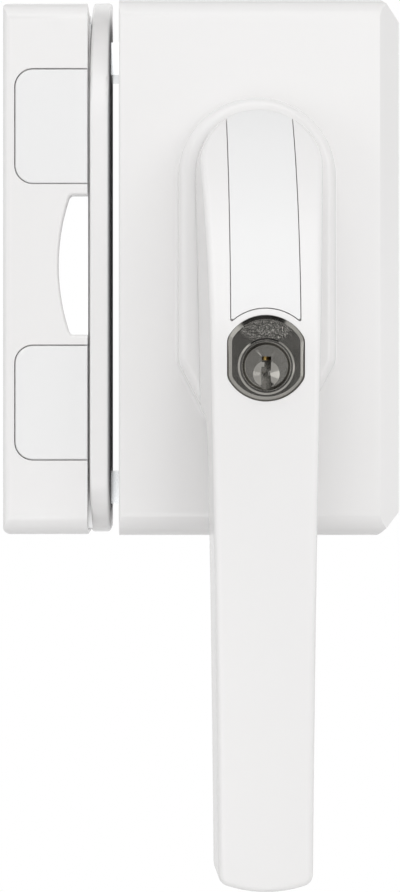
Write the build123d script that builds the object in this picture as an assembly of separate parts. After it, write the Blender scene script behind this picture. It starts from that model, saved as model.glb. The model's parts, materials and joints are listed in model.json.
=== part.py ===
from build123d import *
from math import atan, cos, pi, radians, sin, sqrt, tan
import os

# Surface window lock: a lock case with a lever handle and a key cylinder, and the keeper beside it.
# Millimetres. X runs along the window face, with the keeper at -X. Z is up. The window is at +Y and
# the room at -Y. The origin is where the handle's axis meets the mounting plane. Depths are measured
# from that plane towards the room, so a depth of 10 is Y = -10.

# Heights that the case and the keeper share, the gaps used throughout, and how far a cutting shape
# reaches past the face that it cuts
body_top = 44.2
body_bottom = -84.0
running_gap = 0.05
seat_gap = 0.25
fit_gap = 0.1
reach_past = 5.0

# Lock case
case_left = -32.2
case_right = 34.6
case_depth = 32.0
case_wall = 2.5
case_end_round = 6.0
case_bevel_width = 5.2
case_bevel_depth = 4.6
case_corner_cut_x = 5.2
case_corner_cut_z = 5.6
case_edge_round = 0.8

# Raised seat that the handle turns on
seat_radius = 18.2
seat_height = 8.0
seat_side_end = -43.0
seat_foot_end = -56.0
seat_foot_half = 11.4
seat_foot_corner = 4.0
seat_edge_round = 2.2
seat_blend = 1.2

# Base plate of the lock
base_thickness = 3.2
base_gap = 0.2
sash_screw_pitch = 43.0
sash_screw_hole = 5.3
sash_screw_head = 9.6
lug_thickness = 3.0
lug_height = 10.0
lug_reach = 13.0
lug_places = (8.0, -48.0)
case_screw_size = 4.0
case_screw_head = 7.0
case_screw_length = 5.0
case_screw_key = 2.5
case_screw_key_depth = 1.5

# Rack drive
gear_module = 1.0
gear_teeth = 14
pressure_angle = 20.0
backlash = 0.16
handle_range = 180.0
layer_gap = 0.3
carriage_thickness = 3.0
carriage_left = -12.0
carriage_margin = 0.5
carriage_corner = 3.0
rack_thickness = 6.0
rack_back = 7.0
rack_right = 5.0
rack_left_margin = 4.5
pinion_journal = 10.6
spindle_size = 7.0
spindle_corner = 0.8
spindle_behind = 32.0
socket_gap = 0.05

# Bolts
bolt_thickness = 9.0
bolt_height = 8.0
bolt_centres = (33.0, -73.0)
bolt_reach = 10.7
bolt_tail = -6.0
bolt_nose = 2.5
guide_rim = 1.5
guide_flange = 1.0
rivet_size = 4.0
rivet_from_tail = (4.5, 15.0)

# Guide posts and the bearing plate that they carry
post_size = 5.0
post_places = ((-20.0, 22.0), (-20.0, -22.0), (4.0, 14.5), (4.0, -38.0))
bearing_thickness = 2.5
bearing_left = -25.0
bearing_right = 29.0
bearing_margin = 5.0
bearing_corner = 3.0
bearing_screw = 3.0
bearing_screw_head = 5.6
bearing_screw_head_height = 1.8
bearing_screw_head_round = 0.6
bearing_screw_bite = 5.0
bearing_screw_hole = 6.0

# Detent
detent_radius = 12.0
detent_thickness = 3.0
detent_notch = 1.0
detent_ball = 5.0
detent_wire = 0.8
detent_turns = 5
detent_spring_length = 7.4
detent_plug_length = 2.5
detent_holder_half = 4.2
detent_slot_width = 0.8
detent_slot_depth = 1.0

# Handle, seen from the front
handle_gap = 0.4
hub_radius = 14.4
side_lean_ratio = 1.53
foot_end = -56.0
grip_half_end = 11.75
handle_end = -158.3
handle_end_bow = 2.6
handle_end_round = 4.2
side_draft = 4.0

# Handle, seen from the side, with its depths measured from its back
grip_rise = 24.9
grip_thickness = 13.5
hub_top_thickness = 2.84
front_arc_end = -45.0
throat_radius = 8.0
front_edge_round = 1.3
back_edge_round = 3.0

# Handle journal in the case
journal_size = 20.0
journal_length = 15.8
bush_wall = 2.0
bush_flange = 2.0
bush_flange_width = 3.0
clip_thickness = 1.2
clip_groove = 1.2
clip_width = 3.0
clip_opening = 5.0
sleeve_size = 14.0

# Cover strip and the screw under it
strip_half = 7.6
strip_thickness = 1.6
strip_gap = 0.22
strip_arc_radius = 10.6
strip_corner = 0.35
handle_screw_size = 5.0
handle_screw_head = 8.5
handle_screw_head_height = 3.2
handle_screw_length = 14.0
handle_screw_floor = 4.1
handle_screw_key = 4.0
handle_screw_key_depth = 2.4
handle_screw_round = 0.8

# Key cylinder
cylinder_centre = -43.5
cylinder_height = 18.3
cylinder_width = 16.4
cylinder_proud = 0.6
cylinder_edge = 0.9
cylinder_floor = 9.6
cylinder_corner = 3.0
plug_centre = -45.3
plug_size = 9.8
collar_size = 12.1
collar_height = 0.5
collar_edge = 0.4
collar_inner_edge = 0.25
plug_proud = 0.5
plug_tail_size = 3.2
plug_tail_length = 5.6
keyway_width = 2.0
keyway_height = 7.0
dish_radius = 2.8
dish_depth = 1.3
dish_drop = 1.6
pin_count = 5
pin_pitch = 2.5
pin_size = 1.9
pin_first_behind = 2.7
pin_chamber_top = -35.9
key_pin_lengths = (3.2, 2.4, 2.9, 2.1, 2.7)
driver_pin_length = 2.0
cylinder_screw_x = 6.5
cylinder_screw_size = 2.0
cylinder_screw_bite = 4.0
cylinder_screw_head = 3.8
cylinder_screw_head_height = 1.6
cylinder_screw_floor = 0.6

# Locking pin that the key pushes into the case
lock_pin_size = 4.4
lock_pin_head = 8.0
lock_pin_head_height = 2.2
lock_pin_travel = 4.5
lock_pin_hidden = 0.5
lock_pin_hole = 5.2
lock_pin_wall = 2.6
lock_pin_play = 0.1

# Keeper
fin_left = -39.3
fin_thickness = 4.75
fin_top = 51.2
fin_top_arc = 36.0
fin_bottom_round = 14.5
fin_edge_round = 1.0
fin_left_edge_round = 0.8
keeper_left = -60.1
keeper_seam = 0.5
keeper_depth = 28.0
keeper_wall = 2.4
keeper_end_round = 5.0
keeper_corner = 1.9
keeper_inner_corner = 0.8
keeper_plate_thickness = 2.0
cover_left = -57.3
cover_heights = ((27.6, -0.1), (-38.4, -66.1))
cover_corner = 4.5
cover_thickness = 1.8
cover_edge_round = 0.4
ledge_width = 1.6
ledge_thickness = 1.4
cover_foot_size = 3.0
cover_foot_offset = 5.5
notch_top = -2.7
notch_bottom = -36.0
notch_end_depth = 4.2
notch_depth = 7.0
notch_corner = 1.2
notch_edge_round = 0.8
notch_clearance = 4.7
block_left = -57.2
block_depth = 19.0
block_heights = ((41.0, 1.8), (-37.4, -81.0))
frame_screw_x = -50.0
frame_screw_heights = ((21.0, 8.0), (-45.8, -58.8))
frame_screw_hole = 5.3
frame_screw_head = 9.6
bolt_clearance = 1.0
plate_screw_size = 4.0
plate_screw_head = 6.4
plate_screw_head_height = 2.4
plate_screw_depths = (6.0, 14.0)
plate_screw_bite = 3.0

# Places worked out from the sizes above
carriage_start = base_thickness + layer_gap
carriage_end = carriage_start + carriage_thickness
rack_end = carriage_end + rack_thickness
gear_start = carriage_end + layer_gap
gear_end = rack_end - layer_gap
bolt_end = carriage_end + bolt_thickness
bolt_middle = (carriage_end + bolt_end) / 2
detent_start = gear_end + layer_gap
detent_end = detent_start + detent_thickness
bearing_start = max(detent_end, bolt_end) + 5 * layer_gap
bearing_end = bearing_start + bearing_thickness
seat_front = case_depth + seat_height
handle_back = seat_front + handle_gap
grip_front = handle_back + grip_rise
grip_back = grip_front - grip_thickness
front_arc_rise = grip_rise - hub_top_thickness
front_arc_run = hub_radius - front_arc_end
front_arc_radius = (front_arc_rise**2 + front_arc_run**2) / (2 * front_arc_rise)
journal_end = handle_back - journal_length
handle_screw_seat = handle_back + handle_screw_floor
cylinder_back = handle_back + cylinder_floor
cylinder_screw_start = handle_back + cylinder_screw_floor
lock_pin_floor = handle_back + lock_pin_wall
pitch_radius = gear_module * gear_teeth / 2
bolt_travel = pitch_radius * radians(handle_range)
inner_left = case_left + case_wall
inner_right = case_right - case_wall
front_wall_back = case_depth - case_wall
fin_right = fin_left + fin_thickness
keeper_right = fin_left - keeper_seam
fin_depth = keeper_depth
bolt_tip = case_left - bolt_reach


def at_depth(depth):
    """Sketch plane parallel to the window at a depth, looking from the room."""
    return Plane.XZ.offset(depth)


def slab(sketch, start, end):
    """Solid of a sketch drawn in X and Z, from one depth to another."""
    return extrude(at_depth(start) * sketch, amount=end - start)


def disc(x, z, diameter, start, end):
    """Round bar along Y."""
    return slab(Pos(x, z) * Circle(diameter / 2), start, end)


def block(x_low, x_high, z_low, z_high, start, end):
    """Rectangular solid between two depths."""
    outline = Pos((x_low + x_high) / 2, (z_low + z_high) / 2) * Rectangle(x_high - x_low, z_high - z_low)
    return slab(outline, start, end)


def bar_x(depth, z, diameter, x_low, x_high):
    """Round bar along X."""
    return extrude(Plane.YZ.offset(x_low) * Pos(-depth, z) * Circle(diameter / 2), amount=x_high - x_low)


def countersink(x, z, hole, head, face_depth):
    """Hole with a 90 degree countersink that opens towards the room at a face."""
    cone_height = (head - hole) / 2
    cone = at_depth(face_depth) * Pos(x, z, -cone_height / 2) * Cone(hole / 2, head / 2, cone_height)
    return disc(x, z, hole, 0, face_depth) + cone


def rounded_square(size, corner):
    """Square section with small rounded corners."""
    return RectangleRounded(size, size, corner)


def socket(start, end):
    """Square hole for the spindle, on the handle's axis."""
    return slab(rounded_square(spindle_size + 2 * socket_gap, spindle_corner), start, end)


# Outlines that more than one piece uses


def case_outline(inset):
    """Front outline of the case: square on the left, with its right corners cut off."""
    left = case_left + inset
    right = case_right - inset
    top = body_top - inset
    bottom = body_bottom + inset
    return make_face(Polyline(
        (left, bottom),
        (right - case_corner_cut_x, bottom),
        (right, bottom + case_corner_cut_z),
        (right, top - case_corner_cut_z),
        (right - case_corner_cut_x, top),
        (left, top),
        close=True,
    ))


def seat_outline(inset):
    """Front outline of the raised seat: round at the top, straight sides, tapered foot."""
    radius = seat_radius - inset
    foot = seat_foot_half - inset * 0.4
    end = seat_foot_end + inset
    arc = ThreePointArc((-radius, 0), (0, radius), (radius, 0))
    rest = Polyline(
        (radius, 0), (radius, seat_side_end), (foot, end),
        (-foot, end), (-radius, seat_side_end), (-radius, 0),
    )
    face = make_face(Curve() + [arc, rest])
    low_corners = face.vertices().filter_by(lambda corner: corner.Y < -1)
    return fillet(low_corners, seat_foot_corner)


def handle_outline():
    """Front outline of the handle at its back face, before the sides draft in."""
    low = handle_end - side_inset(grip_back)
    corner_z = low + handle_end_bow
    lean = side_lean_ratio * atan((hub_radius - grip_half_end) / -corner_z)
    touch_x = hub_radius * cos(lean)
    touch_z = -hub_radius * sin(lean)
    hub = ThreePointArc((-touch_x, touch_z), (0, hub_radius), (touch_x, touch_z))
    right = TangentArc((touch_x, touch_z), (grip_half_end, corner_z), tangent=(-sin(lean), -cos(lean)))
    left = TangentArc((-touch_x, touch_z), (-grip_half_end, corner_z), tangent=(sin(lean), -cos(lean)))
    end = ThreePointArc((-grip_half_end, corner_z), (0, low), (grip_half_end, corner_z))
    face = make_face(Curve() + [hub, right, end, left])
    return fillet(face.vertices().filter_by(lambda point: point.Y < corner_z + 1), handle_end_round)


def side_inset(depth):
    """How far the handle's sides have drawn in at a depth."""
    return (depth - handle_back) * tan(radians(side_draft))


def handle_side():
    """Side outline of the handle: one long front arc down to a straight grip."""
    arc_centre = grip_front - front_arc_radius
    top = hub_radius + 1
    top_depth = arc_centre + sqrt(front_arc_radius**2 - (top - front_arc_end) ** 2)
    middle = (top + front_arc_end) / 2
    middle_depth = arc_centre + sqrt(front_arc_radius**2 - (middle - front_arc_end) ** 2)
    low = handle_end - reach_past
    arc = ThreePointArc((-top_depth, top), (-middle_depth, middle), (-grip_front, front_arc_end))
    throat_start = foot_end - throat_radius
    throat_end = grip_back - throat_radius
    lines = Polyline(
        (-grip_front, front_arc_end), (-grip_front, low), (-grip_back, low), (-grip_back, throat_start)
    )
    throat = RadiusArc((-grip_back, throat_start), (-throat_end, foot_end), throat_radius, short_sagitta=True)
    back = Polyline((-throat_end, foot_end), (-handle_back, foot_end), (-handle_back, top), (-top_depth, top))
    return make_face(Curve() + [arc, lines, throat, back])


def strip_outline(gap):
    """Front outline of the cover strip, open at the hub's top, with its lower edge round the cylinder."""
    half = strip_half - gap
    top = hub_radius + reach_past
    strip = Pos(0, (top + cylinder_centre) / 2) * Rectangle(2 * half, top - cylinder_centre)
    strip -= Pos(0, cylinder_centre) * Circle(strip_arc_radius + gap)
    tips = strip.vertices().filter_by(lambda corner: corner.Y < 0 and abs(corner.X) > half / 2)
    return fillet(tips, strip_corner)


def cylinder_outline(gap):
    """Round section with two flats, as the cylinder and its hole have."""
    round_part = Circle(cylinder_height / 2 + gap)
    flats = Rectangle(cylinder_width + 2 * gap, cylinder_height + reach_past)
    section = round_part & flats
    return Pos(0, cylinder_centre) * fillet(section.vertices(), cylinder_corner + gap)


def notch_outline(inset):
    """Front outline of the keeper's notch: an arc that bows into the housing."""
    top = notch_top + inset
    bottom = notch_bottom - inset
    end_x = keeper_right - notch_end_depth - inset
    deep_x = keeper_right - notch_depth - inset
    out_x = keeper_right + reach_past
    arc = ThreePointArc((end_x, top), (deep_x, (top + bottom) / 2), (end_x, bottom))
    rest = Polyline((end_x, bottom), (out_x, bottom), (out_x, top), (end_x, top))
    face = make_face(Curve() + [arc, rest])
    return fillet(face.vertices().filter_by(lambda corner: corner.X < keeper_right), notch_corner)


def cover_outline(top, bottom, gap):
    """Front outline of a screw cover, rounded at its two left corners."""
    left = cover_left + gap
    right = keeper_right
    face = make_face(Polyline(
        (left, bottom + gap), (right, bottom + gap), (right, top - gap), (left, top - gap), close=True
    ))
    return fillet(face.vertices().filter_by(lambda corner: corner.X < left + 1), cover_corner - gap)


# Lock case and base plate


def case_block(inset):
    """The case's outside, or its hollow when drawn in by the wall."""
    plan = slab(case_outline(inset), -inset, case_depth - inset)
    left = case_left + inset
    right = case_right - inset
    front = case_depth - inset
    slope = sqrt(case_bevel_width**2 + case_bevel_depth**2)
    shrink = inset * (slope - case_bevel_width - case_bevel_depth)
    bevel_width = case_bevel_width + shrink / case_bevel_depth
    bevel_depth = case_bevel_depth + shrink / case_bevel_width
    cross = make_face(Polyline(
        (left, inset),
        (right, inset),
        (right, bevel_depth - front),
        (right - bevel_width, -front),
        (left, -front),
        close=True,
    ))
    if inset == 0:
        cross = fillet(cross.vertices().filter_by(lambda point: point.Y < -inset - 1), case_edge_round)
    sides = extrude(Plane.XY.offset(body_bottom) * cross, amount=body_top - body_bottom)
    ends = end_profile(body_top - inset, body_bottom + inset, front, case_end_round - inset, inset)
    return plan & extrude(Plane.YZ.offset(left) * ends, amount=right - left) & sides


def end_profile(top, bottom, front, corner, behind):
    """Side outline of a cover: a rectangle with its two front corners rounded."""
    face = make_face(Polyline((behind, bottom), (-front, bottom), (-front, top), (behind, top), close=True))
    return fillet(face.vertices().filter_by(lambda point: point.X < 0), corner)


def make_lock_case():
    """Cast case: a shell with a bevelled right side and the raised seat for the handle."""
    shell = case_block(0)
    seat = slab(seat_outline(0), front_wall_back, seat_front)
    seat = fillet(seat.faces().sort_by(Axis.Y)[0].edges(), seat_edge_round)
    case = shell + seat
    case = fillet(case.edges().filter_by(is_seat_foot), seat_blend)
    case -= case_block(case_wall)
    case -= slab(seat_outline(case_wall), case_wall, seat_front - case_wall)
    bush_seat = journal_size + 2 * running_gap + 2 * bush_wall
    case += disc(0, 0, bush_seat + 2 * case_wall, front_wall_back, seat_front - case_wall / 2)
    case += disc(0, plug_centre, lock_pin_hole + 2 * case_wall, seat_front - case_wall - lock_pin_travel,
                 seat_front - case_wall / 2)
    case -= disc(0, 0, bush_seat, 0, seat_front + 1)
    case -= disc(0, plug_centre, lock_pin_hole, seat_front - lock_pin_travel - 1, seat_front + 1)
    for centre in bolt_centres:
        case -= bolt_window(centre, guide_rim, case_left - 1, inner_left + 1)
    for height in lug_places:
        case -= bar_x(lug_screw_depth(), height, case_screw_size + 2 * fit_gap, case_left - 1, inner_left + 1)
        case -= screw_cone(lug_screw_depth(), height)
    return case


def is_seat_foot(edge):
    """Whether an edge runs where the raised seat meets the case's face."""
    middle = edge @ 0.5
    on_face = abs(middle.Y + case_depth) < fit_gap
    beside_seat = abs(middle.X) < seat_radius + fit_gap
    return on_face and beside_seat and seat_foot_end - 1 < middle.Z < seat_radius + 1


def lug_screw_depth():
    """Depth of the case screws' axes."""
    return base_thickness + lug_reach * 0.6


def screw_cone(depth, height):
    """Countersink in the case's left wall, open to the left."""
    cone_height = (case_screw_head - case_screw_size) / 2
    return (Plane.YZ.offset(case_left + cone_height / 2) * Pos(-depth, height)
            * Cone(case_screw_head / 2, case_screw_size / 2, cone_height))


def bolt_window(centre, margin, x_low, x_high):
    """Rectangular bar along X round a bolt, larger by a margin."""
    section = Rectangle(bolt_thickness + 2 * margin, bolt_height + 2 * margin)
    return extrude(Plane.YZ.offset(x_low) * Pos(-bolt_middle, centre) * section, amount=x_high - x_low)


def make_base_plate():
    """Steel plate on the sash, with two lugs that hold the case."""
    plate = slab(case_outline(case_wall + base_gap), 0, base_thickness)
    for height in lug_places:
        lug_left = inner_left + base_gap
        plate += block(lug_left, lug_left + lug_thickness, height - lug_height / 2, height + lug_height / 2,
                       base_thickness, base_thickness + lug_reach)
        plate -= bar_x(lug_screw_depth(), height, case_screw_size, lug_left - 1, lug_left + lug_thickness + 1)
    plate -= disc(0, 0, pinion_journal + 2 * running_gap, -1, base_thickness + 1)
    for height in (sash_screw_pitch / 2, -sash_screw_pitch / 2):
        plate -= countersink(0, height, sash_screw_hole, sash_screw_head, base_thickness)
    return plate


def make_case_screws():
    """Countersunk screws through the case's left wall into the lugs."""
    cone_height = (case_screw_head - case_screw_size) / 2
    screws = []
    for height in lug_places:
        head = (Plane.YZ.offset(case_left + cone_height / 2) * Pos(-lug_screw_depth(), height)
                * Cone(case_screw_head / 2, case_screw_size / 2, cone_height))
        screw = head + bar_x(lug_screw_depth(), height, case_screw_size, case_left + cone_height,
                             case_left + cone_height + case_screw_length)
        screw -= hex_recess(lug_screw_depth(), height)
        screws.append(screw)
    return Compound(children=screws)


def hex_recess(depth, height):
    """Hexagon socket in a case screw's head."""
    section = RegularPolygon(case_screw_key / 2, 6, major_radius=False)
    return extrude(Plane.YZ.offset(case_left) * Pos(-depth, height) * section, amount=case_screw_key_depth)


# Rack drive


def pinion_outline():
    """Involute pinion with its teeth thinned by the backlash, one tooth space straight down."""
    angle = radians(pressure_angle)
    base_radius = pitch_radius * cos(angle)
    root_radius = pitch_radius - 1.25 * gear_module
    tip_radius = pitch_radius + 0.9 * gear_module
    involute_angle = tan(angle) - angle
    half_tooth = (pi * gear_module - 2 * backlash) / (4 * pitch_radius)
    start_radius = max(base_radius, root_radius)
    steps = 5
    outline = Circle(root_radius)
    for tooth in range(gear_teeth):
        turn = -pi / 2 + (tooth + 0.5) * 2 * pi / gear_teeth
        flank = []
        for step in range(steps + 1):
            radius = start_radius + (tip_radius - start_radius) * step / steps
            roll = sqrt(max((radius / base_radius) ** 2 - 1, 0))
            swing = half_tooth + involute_angle - (roll - atan(roll))
            flank.append((radius, swing))
        inner = (root_radius - 0.3, flank[0][1])
        points = [inner] + flank
        right = [(r * cos(turn - a), r * sin(turn - a)) for r, a in points]
        left = [(r * cos(turn + a), r * sin(turn + a)) for r, a in reversed(points)]
        outline += make_face(Polyline(*right, *left, close=True))
    return outline


def make_drive_pinion():
    """Pinion with a journal in the base plate and a square socket for the spindle."""
    pinion = slab(pinion_outline(), gear_start, gear_end)
    pinion += disc(0, 0, pinion_journal, layer_gap, gear_start)
    return pinion - socket(0, gear_end + 1)


def make_bolt_carriage():
    """Plate that ties both bolts to the rack, open to the left round the pinion's journal."""
    spine_right = inner_right - base_gap - layer_gap - bolt_travel
    arm_left = inner_left + guide_flange + layer_gap + base_gap
    arm_half = bolt_height / 2 - carriage_margin
    plate = block(carriage_left, spine_right, bolt_centres[1] - arm_half, bolt_centres[0] + arm_half,
                  carriage_start, carriage_end)
    plate = chamfer(plate.edges().filter_by(Axis.Y).group_by(Axis.X)[-1], carriage_corner)
    for centre in bolt_centres:
        plate += block(arm_left, 0, centre - arm_half, centre + arm_half, carriage_start, carriage_end)
    plate += block(rack_left(), spine_right, rack_bottom(), -pitch_radius + 1.2, carriage_start, carriage_end)
    for x, z in post_places:
        if x > 0:
            plate += block(x - bolt_travel - post_size, spine_right, z - post_size, z + post_size,
                           carriage_start, carriage_end)
    plate -= travel_slot(0, 0, pinion_journal)
    for height in (sash_screw_pitch / 2, -sash_screw_pitch / 2):
        plate -= disc(-bolt_travel / 2, height, sash_screw_head + 1, carriage_start - 1, carriage_end + 1)
    for x, z in post_places:
        plate -= travel_slot(x, z, post_size)
    for hole in rivet_places():
        plate -= disc(hole[0], hole[1], rivet_size, carriage_start - 1, carriage_end + 1)
    return plate


def travel_slot(x, z, diameter):
    """Slot in the carriage that lets a fixed round bar pass along its whole travel."""
    width = diameter + 2 * seat_gap
    slot = Pos(x - bolt_travel / 2, z) * SlotCenterToCenter(bolt_travel, width)
    return slab(slot, carriage_start - 1, carriage_end + 1)


def rack_left():
    """Left end of the rack with the bolts thrown."""
    return -bolt_travel - rack_left_margin


def rack_bottom():
    """Underside of the rack."""
    return -pitch_radius - rack_back


def make_bolt_rack():
    """Rack below the pinion, with straight-sided teeth."""
    angle = radians(pressure_angle)
    addendum = 0.9 * gear_module
    dedendum = 1.25 * gear_module
    right = rack_right
    pitch = pi * gear_module
    body = block(rack_left(), right, rack_bottom(), -pitch_radius - dedendum, carriage_end, rack_end)
    half = pitch / 4 - backlash / 2
    tooth_count = int((right - rack_left()) / pitch)
    first = -int((-rack_left() - half) / pitch)
    for tooth in range(first, first + tooth_count):
        centre = tooth * pitch
        low = half + dedendum * tan(angle)
        high = half - addendum * tan(angle)
        tooth_outline = make_face(Polyline(
            (centre - low, -pitch_radius - dedendum),
            (centre + low, -pitch_radius - dedendum),
            (centre + high, -pitch_radius + addendum),
            (centre - high, -pitch_radius + addendum),
            close=True,
        ))
        if centre + low <= right and centre - low >= rack_left():
            body += slab(tooth_outline, carriage_end, rack_end)
    return body


def make_bolt(centre):
    """Flat steel bolt with a rounded nose."""
    bolt = bolt_window(centre, 0, bolt_tip, bolt_tail)
    nose_edges = bolt.faces().sort_by(Axis.X)[0].edges().filter_by(Axis.Y)
    bolt = fillet(nose_edges, bolt_nose)
    for hole in rivet_places():
        if abs(hole[1] - centre) < bolt_height:
            bolt -= disc(hole[0], hole[1], rivet_size, carriage_end - 1, bolt_end - 2)
    return bolt


def rivet_places():
    """X and Z of each rivet that joins a bolt to the carriage."""
    return [(bolt_tail - back, centre) for centre in bolt_centres for back in rivet_from_tail]


def make_bolt_rivets():
    """Rivets from the back of the carriage into the bolts."""
    rivets = [disc(x, z, rivet_size, carriage_start, bolt_end - 2) for x, z in rivet_places()]
    return Compound(children=rivets)


def make_bolt_guide(centre):
    """Flanged frame in the case's left wall that a bolt slides in."""
    guide = bolt_window(centre, guide_rim, case_left, inner_left)
    guide += bolt_window(centre, guide_rim + guide_flange, inner_left, inner_left + guide_flange)
    return guide - bolt_window(centre, fit_gap, case_left - 1, inner_left + guide_flange + 1)


# Posts, bearing plate and detent


def make_guide_posts():
    """Posts on the base plate: two run in the carriage's slots, and all carry the bearing plate."""
    posts = []
    for x, z in post_places:
        post = disc(x, z, post_size, base_thickness, bearing_start)
        posts.append(post - disc(x, z, bearing_screw, bearing_start - bearing_screw_hole, bearing_start + 1))
    return Compound(children=posts)


def make_bearing_plate():
    """Plate in front of the drive, with the front bearing of the spindle's sleeve."""
    heights = [z for x, z in post_places]
    plate = block(bearing_left, bearing_right, min(heights) - bearing_margin, max(heights) + bearing_margin,
                  bearing_start, bearing_end)
    plate = fillet(plate.edges().filter_by(Axis.Y), bearing_corner)
    plate -= disc(0, 0, sleeve_size + 2 * running_gap, bearing_start - 1, bearing_end + 1)
    for x, z in post_places:
        plate -= disc(x, z, bearing_screw, bearing_start - 1, bearing_end + 1)
    return plate


def make_bearing_screws():
    """Pan-head screws through the bearing plate into the posts."""
    screws = []
    for x, z in post_places:
        shank = disc(x, z, bearing_screw, bearing_start - bearing_screw_bite, bearing_end)
        head = disc(x, z, bearing_screw_head, bearing_end, bearing_end + bearing_screw_head_height)
        head = fillet(head.faces().sort_by(Axis.Y)[0].edges(), bearing_screw_head_round)
        screws.append(shank + head)
    return Compound(children=screws)


def make_detent_disc():
    """Disc on the spindle with a notch at every quarter turn."""
    disc_solid = disc(0, 0, 2 * detent_radius, detent_start, detent_end)
    notch_radius = detent_ball / 2 + fit_gap
    reach = detent_radius - detent_notch + notch_radius
    for quarter in range(4):
        angle = quarter * pi / 2
        disc_solid -= disc(reach * cos(angle), reach * sin(angle), 2 * notch_radius,
                           detent_start - 1, detent_end + 1)
    return disc_solid - socket(detent_start - 1, detent_end + 1)


def detent_depth():
    """Depth of the ball's centre."""
    return (detent_start + detent_end) / 2


def make_detent_ball():
    """Ball that springs into the disc's notches, drawn lifted onto the rim."""
    x = detent_radius + fit_gap + detent_ball / 2
    return Pos(x, -detent_depth(), 0) * Sphere(detent_ball / 2)


def make_detent_spring():
    """Coil spring behind the ball."""
    start = detent_radius + fit_gap + detent_ball + detent_wire / 2
    radius = detent_ball / 2 - detent_wire / 2 - fit_gap
    pitch = (detent_spring_length - detent_wire) / detent_turns
    path = Helix(pitch=pitch, height=detent_spring_length - detent_wire, radius=radius)
    section = Plane(origin=path @ 0, z_dir=path % 0) * Circle(detent_wire / 2)
    spring = sweep(section, path=path)
    return Pos(start, -detent_depth(), 0) * Rot(0, 90, 0) * spring


def detent_plug_start():
    """Where the spring ends and its plug begins."""
    return detent_radius + fit_gap + detent_ball + detent_spring_length


def make_detent_holder():
    """Block under the bearing plate, bored for the ball and its spring."""
    left = detent_radius + 1.2
    right = detent_plug_start() + detent_plug_length
    low_wall = detent_depth() - detent_ball / 2 - 1.2
    holder = block(left, right, -detent_holder_half, detent_holder_half, low_wall, bearing_start)
    return holder - bar_x(detent_depth(), 0, detent_ball + 2 * fit_gap, left - 1, right + 1)


def make_detent_plug():
    """Threaded plug that closes the detent's bore."""
    start = detent_plug_start()
    plug = bar_x(detent_depth(), 0, detent_ball + 2 * fit_gap, start, start + detent_plug_length)
    slot = Pos(start + detent_plug_length, -detent_depth(), 0) * Box(
        2 * detent_slot_depth, detent_slot_width, detent_ball + 1)
    return plug - slot


# Spindle, sleeve, bush and clip on the handle's axis


def make_spindle():
    """Square bar from the window's gear up into the handle."""
    bar = slab(rounded_square(spindle_size, spindle_corner), -spindle_behind, handle_screw_seat - 1)
    return bar - disc(0, 0, handle_screw_size, handle_screw_seat - 1 - handle_screw_length, handle_screw_seat)


def make_drive_sleeve():
    """Sleeve between the detent disc and the handle, running in the bearing plate."""
    sleeve = disc(0, 0, sleeve_size, detent_end, journal_end - layer_gap)
    return sleeve - socket(detent_end - 1, journal_end)


def make_handle_bush():
    """Flanged bush in the case that the handle's journal turns in."""
    bore = journal_size + 2 * running_gap
    outer = bore + 2 * bush_wall
    bush = disc(0, 0, outer, front_wall_back, seat_front - fit_gap)
    bush += disc(0, 0, outer + 2 * bush_flange_width, front_wall_back - bush_flange, front_wall_back)
    return bush - disc(0, 0, bore, 0, seat_front + 1)


def clip_front():
    """Depth of the retaining clip's front face."""
    return front_wall_back - bush_flange - fit_gap


def make_retaining_clip():
    """Open spring clip in the journal's groove, behind the bush."""
    outer = journal_size + 2 * clip_width - clip_groove
    clip = disc(0, 0, outer, clip_front() - clip_thickness, clip_front())
    clip -= disc(0, 0, journal_size - 2 * clip_groove, 0, case_depth)
    return clip - block(-clip_opening / 2, clip_opening / 2, -outer, -journal_size / 4, 0, case_depth)


# Handle


def make_lever():
    """The lever's outside: a hub that rises in one long arc to a straight grip."""
    blank = extrude(at_depth(handle_back) * handle_outline(), amount=grip_rise + 2, taper=side_draft)
    side = extrude(Plane.YZ * handle_side(), amount=hub_radius * 2, both=True)
    return round_edges(blank & side)


def make_handle_body():
    """Lever with its journal, and the lock in its neck."""
    lever = make_lever()
    lever += disc(0, 0, journal_size, journal_end, handle_back + 1)
    groove = disc(0, 0, journal_size + 2, clip_front() - clip_thickness - fit_gap, clip_front() + fit_gap / 2)
    groove -= disc(0, 0, journal_size - 2 * clip_groove, 0, handle_back)
    lever -= groove
    lever -= socket(journal_end - 1, handle_screw_seat - 0.5)
    lever -= disc(0, 0, handle_screw_size + 2 * fit_gap, journal_end, grip_front)
    lever -= disc(0, 0, handle_screw_head + 2 * seat_gap, handle_screw_seat, grip_front)
    lever -= strip_recess(0)
    lever -= slab(cylinder_outline(fit_gap), cylinder_back, grip_front + reach_past)
    for side in (-1, 1):
        x = side * cylinder_screw_x
        lever -= disc(x, cylinder_centre, cylinder_screw_size + fit_gap, handle_back - 1, cylinder_back + 1)
        lever -= disc(x, cylinder_centre, cylinder_screw_head + 2 * seat_gap, handle_back - 1,
                      cylinder_screw_start + cylinder_screw_head_height)
    lever -= disc(0, plug_centre, lock_pin_head + 2 * seat_gap, lock_pin_floor, cylinder_back + 1)
    lever -= disc(0, plug_centre, lock_pin_size + 2 * lock_pin_play, handle_back - 1, lock_pin_floor + 1)
    return lever


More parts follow.
